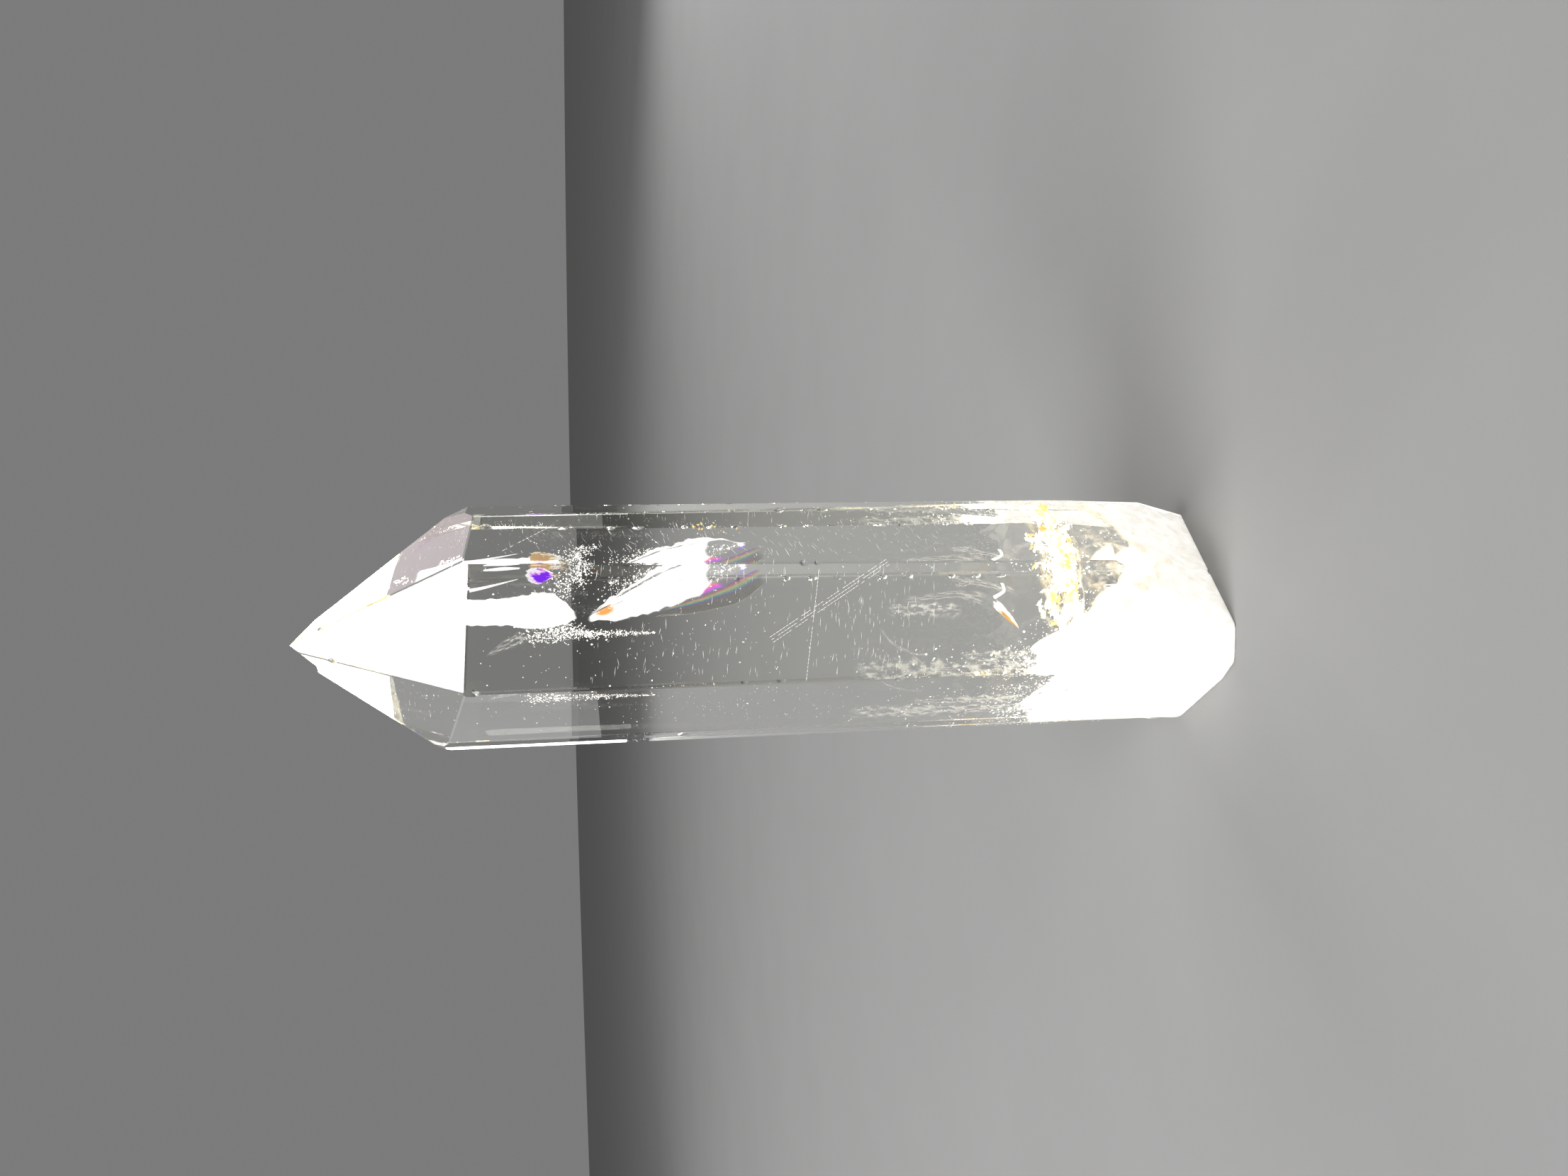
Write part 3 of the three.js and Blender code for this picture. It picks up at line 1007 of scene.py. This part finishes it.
def reach_inside(directions, heights):
    """How far in mm level directions from the root's axis run until the inset is all that is left to a
    face."""
    start = np.append(ROOT_AXIS, 0.0) + np.stack([0 * heights, 0 * heights, heights], axis=-1)
    room = face_reach - ROOT_INSET - start @ face_outward.T
    speed = directions @ face_outward[:, :2].T
    reach = np.where(speed > 1e-3, room / np.maximum(speed, 1e-3), np.inf)
    return reach.min(axis=-1)


def root_body(finish, around=144, side_rows=72, cap_rows=30, seed=41):
    """Rings around the root's axis. They run along the side from the foot to the torn top, and then inwards
    over it, and a similar lid closes the foot. Lumps push every ring in and out. At the back a clear layer
    stays between the rings and the faces, above the foot."""
    dice = np.random.default_rng(seed)
    turn = np.linspace(-np.pi, np.pi, around)[None, :]
    directions = np.stack([np.sin(turn), -np.cos(turn)], axis=-1)
    rim_points = np.concatenate([ROOT_AXIS + ROOT_RADIUS * directions, 0 * turn[..., None]], axis=-1)
    behind = backward(rim_points[..., 1])
    uneven = 2.0 * lumps(rim_points, 7.0, dice) + 1.0 * lumps(rim_points, 2.6, dice)
    milk = root_height(rim_points[..., 0], rim_points[..., 1])
    top = milk + TORN_ABOVE + (uneven - TORN_ABOVE) * (1 - 0.8 * behind)
    top = np.maximum(top, LOWEST_TOP)
    climb = np.linspace(0, 1, side_rows)
    rise = np.concatenate([np.zeros(cap_rows), climb, np.ones(cap_rows)])[:, None]
    opening = np.linspace(0, 1, cap_rows)
    spread = np.concatenate([opening, np.ones(side_rows), np.linspace(1, 0, cap_rows)])[:, None]
    heights = ROOT_FLOOR + (top - ROOT_FLOOR) * rise
    middle_height = ROOT_FLOOR + (top.mean() + LID_LIFT - ROOT_FLOOR) * rise
    heights = middle_height + (heights - middle_height) * spread**0.5
    every_way = np.broadcast_to(directions, (*heights.shape, 2))
    thin = 1 - CLEAR_BACK * behind * (heights / CLEAR_FROM).clip(0, 1)
    reach = reach_inside(every_way, heights) * spread * thin
    points = np.concatenate([ROOT_AXIS + every_way * reach[..., None], heights[..., None]], axis=-1)
    shrink = 1 - 0.05 * (1 + lumps(points, 3.0, dice).clip(-1, 1)) * rise
    points[..., :2] = ROOT_AXIS + (points[..., :2] - ROOT_AXIS) * shrink[..., None]
    sheet_place = np.stack(np.broadcast_arrays((turn + np.pi) / (2 * np.pi), rise), axis=-1)
    return add_sheet("milky_root", points, sheet_place, finish)


# %% Milk finish
POCKET_X = 7.4
POCKET_FOOT = 9.5
MILK_LIMIT = 26.0
CLOUD_HEIGHT = 14.0
MIST_FADES = (17.0, 21.0)


def milk_finish():
    """White quartz with a golden fringe on the right. It is milky up to a height that grows with the square
    root of the distance from the foot of the pocket, is higher on the left and ends at a limit. A cloud
    pattern tears that edge, and above it only some mist is left. It glows in its colours, which is painted
    light for what the tiny cracks scatter."""
    material, tree, place = new_finish("milky_quartz")
    in_mm = node(tree, "ShaderNodeVectorMath", {"operation": "SCALE"}, {0: place, "Scale": 1 / MM})
    x = node(tree, "ShaderNodeSeparateXYZ", {}, {0: in_mm}, "X")
    z = node(tree, "ShaderNodeSeparateXYZ", {}, {0: in_mm}, "Z")
    cloud = noise(per_mm(place, 0.30, 0.30, 0.22), detail=6.0)
    fine = noise(per_mm(place, 1.0, 1.0, 0.5), detail=5.0)
    slope = abs(x - POCKET_X).root() * 4.0 + POCKET_FOOT + (1 - x.step(-4.0, 1.0)) * 4.0
    under = slope.lower(MILK_LIMIT) - z + (cloud - 0.5) * CLOUD_HEIGHT
    torn = under.step(0.0, 2.0)
    white = ramp(fine, (0.3, (0.86, 0.83, 0.76)), (0.6, (1.0, 0.99, 0.96)))
    gold = ramp(fine, (0.3, (0.62, 0.40, 0.14)), (0.7, (1.0, 0.90, 0.62)))
    stain = (1 - under.step(1.0, 4.0)) * x.step(-2.0, 2.0) * 0.5
    colour = blend(stain, white, gold)
    mist = fine.step(0.48, 0.72) * (1 - z.step(*MIST_FADES)) * 0.3
    lumpy = {"Strength": 0.6, "Distance": 0.0012, "Height": cloud + fine * 0.3}
    sockets = {
        "Base Color": colour,
        "Roughness": 0.5,
        "Alpha": torn + (1 - torn) * mist,
        # Emission is painted light: the root glows so that it stays near white.
        "Emission Color": colour,
        "Emission Strength": 0.66,
        "Normal": node(tree, "ShaderNodeBump", {}, lumpy),
    }
    put_out(tree, node(tree, "ShaderNodeBsdfPrincipled", {}, sockets))
    return material


root_body(milk_finish())

# %% [markdown]
# Crumbs are flakes that are thrown at random into a box and kept by chance: one in two just inside the
# milk's edge, fewer and fewer above it, some more in the columns on the left, and hardly any in the clear
# pocket.

# %% Crumbs around the root
CRUMB_TRIES = 60000
CRUMB_LOW, CRUMB_HIGH = (-16.5, -14.0, 1.0), (16.5, 14.0, 54.0)
CRUMB_DEPTH = 0.35
LARGEST_CRUMB = 0.34
POCKET_LEFT, POCKET_TOP = -1.5, 21.0
IN_POCKET_SHARE = 0.05
crumb_dice = np.random.default_rng(51)
crumbs = crumb_dice.uniform(CRUMB_LOW, CRUMB_HIGH, size=(CRUMB_TRIES, 3))
crumb_x, crumb_y, crumb_z = crumbs.T
above = crumb_z - root_height(crumb_x, crumb_y) - 3.0 * lumps(crumbs * (1, 1, 0.25), 6.0, crumb_dice)
near_edge = np.exp(-np.maximum(above, 0) / 1.8) * (above > -7) * 0.5
left_columns = np.exp(-(((crumb_x + 8.0) / 3.0) ** 2)) * np.exp(-np.maximum(crumb_z - 26, 0) / 8.0) * 0.3
in_pocket = (crumb_x > POCKET_LEFT) & (crumb_z < POCKET_TOP)
crumb_chance = (near_edge + left_columns) * np.where(in_pocket, IN_POCKET_SHARE, 1.0)
kept_crumbs = (crumb_dice.random(CRUMB_TRIES) < crumb_chance) & (depth_inside(crumbs) > CRUMB_DEPTH)
add_flakes("root_crumbs", crumbs[kept_crumbs], LARGEST_CRUMB, white_speck, crumb_dice)

# %% [markdown]
# The pocket itself is nearly clear: a little mist hangs in it, and one bright needle.

# %% Pocket in the root
pocket_wisp = wisp_finish("pocket_wisp", (0.92, 0.88, 0.80), (0.60, 0.56, 0.48), 0.55, grain=(3.5, 3.0))
rim_sheet(
    "pocket_mist",
    [(0.5, -5.0, 21.0), (3.0, -5.5, 16.0), (6.0, -8.0, 9.5)],
    [(11.0, -3.0, 21.5), (9.6, -5.0, 16.0), (7.8, -8.0, 9.5)],
    pocket_wisp, ripple=0.6, ragged=0.4, rows=48, columns=40, seed=18,
)
rim_sheet(
    "pocket_needle",
    [(4.30, -9.0, 18.9), (4.34, -9.0, 15.7)],
    [(4.46, -9.0, 18.9), (4.46, -9.0, 15.7)],
    shine, rows=24, columns=6, seed=19,
)

# %% [markdown]
# Iron has stained the upper edge of the root on the right golden. A single golden veil would look painted
# on, so the stain sits in clumps of flakes, most of them white with some golden ones between, and in
# crumpled veils that stand one behind the other.

# %% Iron stain
CLUMPS = 66
BAND_HEIGHT = 23.8
BAND_SLOPE = 0.2
STAINED_CLUMPS = 10
RUST_HEARTS = [
    (3.3, -6.0, 23.6), (4.4, -7.0, 23.0), (10.0, -4.0, 25.6), (13.6, -2.0, 24.6), (7.4, -6.0, 24.6)
]
CLUMP_SPREAD = (0.9, 0.6, 0.3)
CHIP_DEPTH = 0.6
LARGEST_CHIP = 1.3
CHIP_THINNEST, CHIP_TILT = 0.14, 0.3
gold_speck = speck_finish("gold_speck", (1.0, 0.85, 0.42), (0.93, 0.62, 0.20), glow=0.6)
cream_speck = speck_finish("cream_speck", (1.0, 0.98, 0.92), (0.90, 0.84, 0.68), glow=0.75)
gold_dice = np.random.default_rng(61)
clump_x = gold_dice.uniform(-3.0, 13.5, CLUMPS)
clump_z = BAND_HEIGHT + gold_dice.normal(0, 1.5, CLUMPS).clip(-2.0, 3.6) + BAND_SLOPE * clump_x
clump_y = gold_dice.uniform(-12.0, -2.0, CLUMPS)
clumps = np.stack([clump_x, clump_y, clump_z], axis=1)
stained = np.concatenate([clumps[:STAINED_CLUMPS], RUST_HEARTS, RUST_HEARTS, RUST_HEARTS])
for name, per_clump, finish, hearts in (
    ("root_chips", 10, cream_speck, clumps),
    ("iron_flakes", 11, gold_speck, stained),
):
    spread = gold_dice.normal(size=(len(hearts), per_clump, 3)) * CLUMP_SPREAD
    places = (hearts[:, None] + spread).reshape(-1, 3)
    places = places[depth_inside(places) > CHIP_DEPTH]
    add_flakes(name, places, LARGEST_CHIP, finish, gold_dice, thinnest=CHIP_THINNEST, tilt=CHIP_TILT)

# %% Golden veils
VEILS = [(-9.0, 21.5, 25.5), (-4.0, 21.0, 27.0)]
FIRST_VEIL_SEED = 70
gold_veil = wisp_finish("gold_veil", (1.0, 0.98, 0.88), (0.95, 0.78, 0.42), 0.75, grain=(6.0, 5.0))
for number, (depth, low, high) in enumerate(VEILS):
    half_way = (low + high) / 2
    rim_sheet(
        f"iron_veil_{number}",
        [(-3.0, depth, high), (-3.4, depth, half_way), (-2.6, depth, low)],
        [(12.0, depth + 3, high + 1), (12.4, depth + 3, half_way), (11.6, depth + 3, low)],
        gold_veil, ripple=0.9, ragged=0.3, rows=32, columns=72, seed=FIRST_VEIL_SEED + number,
    )

# %% [markdown]
# A few golden bits lie to the right of the lower half of the great crack.

# %% Golden bits
BITS = 26
BITS_PLACE, BITS_SPREAD = (10.8, -3.0, 75.6), (0.5, 0.4, 2.4)
LARGEST_BIT = 0.5
bits = gold_dice.normal(size=(BITS, 3)) * BITS_SPREAD + BITS_PLACE
add_flakes("golden_bits", bits, LARGEST_BIT, gold_speck, gold_dice)
